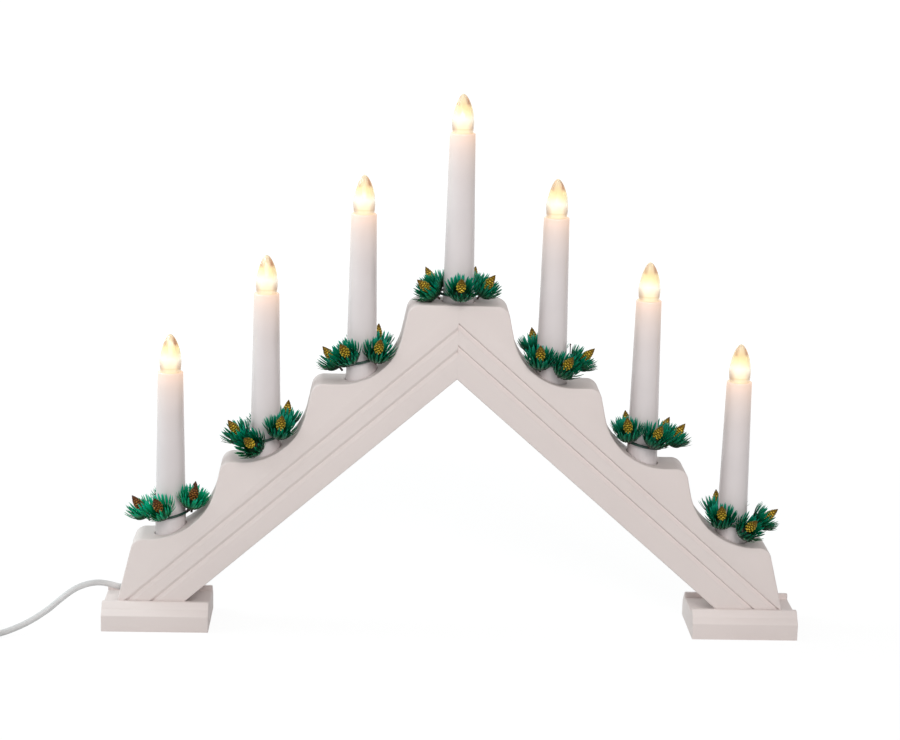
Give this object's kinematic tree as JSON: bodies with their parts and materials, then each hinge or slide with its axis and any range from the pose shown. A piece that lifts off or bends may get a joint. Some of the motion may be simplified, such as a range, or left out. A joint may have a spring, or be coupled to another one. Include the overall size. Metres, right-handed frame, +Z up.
{
  "type": "electric advent candlestick",
  "caption": "Gable-shaped painted wooden candlestick on two moulded feet, with electric candles rising in steps to the middle, needle rings with small cones, and a lead with a plug.",
  "frame": {"origin": "on the table, midway between the two feet and in the middle of their depth", "axes": "+X to the right along the gable, +Y from the grooved front to the back, +Z up along the candles"},
  "size_m": [0.5936, 0.0815, 0.3085],
  "materials": {
    "painted_wood": "satin white paint",
    "bare_wood": "bare beech",
    "steel": "zinc plated",
    "wire_white": "smooth vinyl",
    "ivory_plastic": "smooth semi-gloss",
    "dark_plastic": "moulded",
    "brass": "rolled sheet",
    "clear_globe": "clear with facets",
    "warm_led": "clear yellow",
    "needle_green": "thin moulded sprigs, painted cones"
  },
  "bodies": {
    "candlestick": {"left_arm": "painted_wood", "right_arm": "painted_wood", "left_foot": "painted_wood", "right_foot": "painted_wood", "mitre_dowel_front": "bare_wood", "mitre_dowel_back": "bare_wood", "left_foot_screw_front": "steel", "left_foot_screw_back": "steel", "right_foot_screw_front": "steel", "right_foot_screw_back": "steel", "wiring_left": "wire_white", "wiring_right": "wire_white", "cord": "wire_white", "cord_coil": "wire_white", "plug": "wire_white", "candle_sleeve_1": "ivory_plastic", "candle_sleeve_2": "ivory_plastic", "candle_sleeve_3": "ivory_plastic", "candle_sleeve_4": "ivory_plastic", "candle_sleeve_5": "ivory_plastic", "candle_sleeve_6": "ivory_plastic", "candle_sleeve_7": "ivory_plastic", "lamp_holder_1": "dark_plastic", "lamp_holder_2": "dark_plastic", "lamp_holder_3": "dark_plastic", "lamp_holder_4": "dark_plastic", "lamp_holder_5": "dark_plastic", "lamp_holder_6": "dark_plastic", "lamp_holder_7": "dark_plastic", "cord_tie": "dark_plastic"},
    "bulb_1": {"bulb_cap_1": "brass", "bulb_globe_1": "clear_globe", "bulb_led_1": "warm_led"},
    "bulb_2": {"bulb_cap_2": "brass", "bulb_globe_2": "clear_globe", "bulb_led_2": "warm_led"},
    "bulb_3": {"bulb_cap_3": "brass", "bulb_globe_3": "clear_globe", "bulb_led_3": "warm_led"},
    "bulb_4": {"bulb_cap_4": "brass", "bulb_globe_4": "clear_globe", "bulb_led_4": "warm_led"},
    "bulb_5": {"bulb_cap_5": "brass", "bulb_globe_5": "clear_globe", "bulb_led_5": "warm_led"},
    "bulb_6": {"bulb_cap_6": "brass", "bulb_globe_6": "clear_globe", "bulb_led_6": "warm_led"},
    "bulb_7": {"bulb_cap_7": "brass", "bulb_globe_7": "clear_globe", "bulb_led_7": "warm_led"},
    "ring_1": {"needle_ring_1": "needle_green"},
    "ring_2": {"needle_ring_2": "needle_green"},
    "ring_3": {"needle_ring_3": "needle_green"},
    "ring_4": {"needle_ring_4": "needle_green"},
    "ring_5": {"needle_ring_5": "needle_green"},
    "ring_6": {"needle_ring_6": "needle_green"},
    "ring_7": {"needle_ring_7": "needle_green"}
  },
  "joints": [
    {"name": "bulb_1_out", "type": "slide", "parent": "candlestick", "child": "bulb_1", "axis": [0, 0, 1], "range_m": [0, 0.04]},
    {"name": "bulb_2_out", "type": "slide", "parent": "candlestick", "child": "bulb_2", "axis": [0, 0, 1], "range_m": [0, 0.04]},
    {"name": "bulb_3_out", "type": "slide", "parent": "candlestick", "child": "bulb_3", "axis": [0, 0, 1], "range_m": [0, 0.04]},
    {"name": "bulb_4_out", "type": "slide", "parent": "candlestick", "child": "bulb_4", "axis": [0, 0, 1], "range_m": [0, 0.04]},
    {"name": "bulb_5_out", "type": "slide", "parent": "candlestick", "child": "bulb_5", "axis": [0, 0, 1], "range_m": [0, 0.04]},
    {"name": "bulb_6_out", "type": "slide", "parent": "candlestick", "child": "bulb_6", "axis": [0, 0, 1], "range_m": [0, 0.04]},
    {"name": "bulb_7_out", "type": "slide", "parent": "candlestick", "child": "bulb_7", "axis": [0, 0, 1], "range_m": [0, 0.04]},
    {"name": "ring_1_off", "type": "slide", "parent": "candlestick", "child": "ring_1", "axis": [0, 0, 1], "range_m": [0, 0.13]},
    {"name": "ring_2_off", "type": "slide", "parent": "candlestick", "child": "ring_2", "axis": [0, 0, 1], "range_m": [0, 0.13]},
    {"name": "ring_3_off", "type": "slide", "parent": "candlestick", "child": "ring_3", "axis": [0, 0, 1], "range_m": [0, 0.13]},
    {"name": "ring_4_off", "type": "slide", "parent": "candlestick", "child": "ring_4", "axis": [0, 0, 1], "range_m": [0, 0.13]},
    {"name": "ring_5_off", "type": "slide", "parent": "candlestick", "child": "ring_5", "axis": [0, 0, 1], "range_m": [0, 0.13]},
    {"name": "ring_6_off", "type": "slide", "parent": "candlestick", "child": "ring_6", "axis": [0, 0, 1], "range_m": [0, 0.13]},
    {"name": "ring_7_off", "type": "slide", "parent": "candlestick", "child": "ring_7", "axis": [0, 0, 1], "range_m": [0, 0.13]}
  ]
}
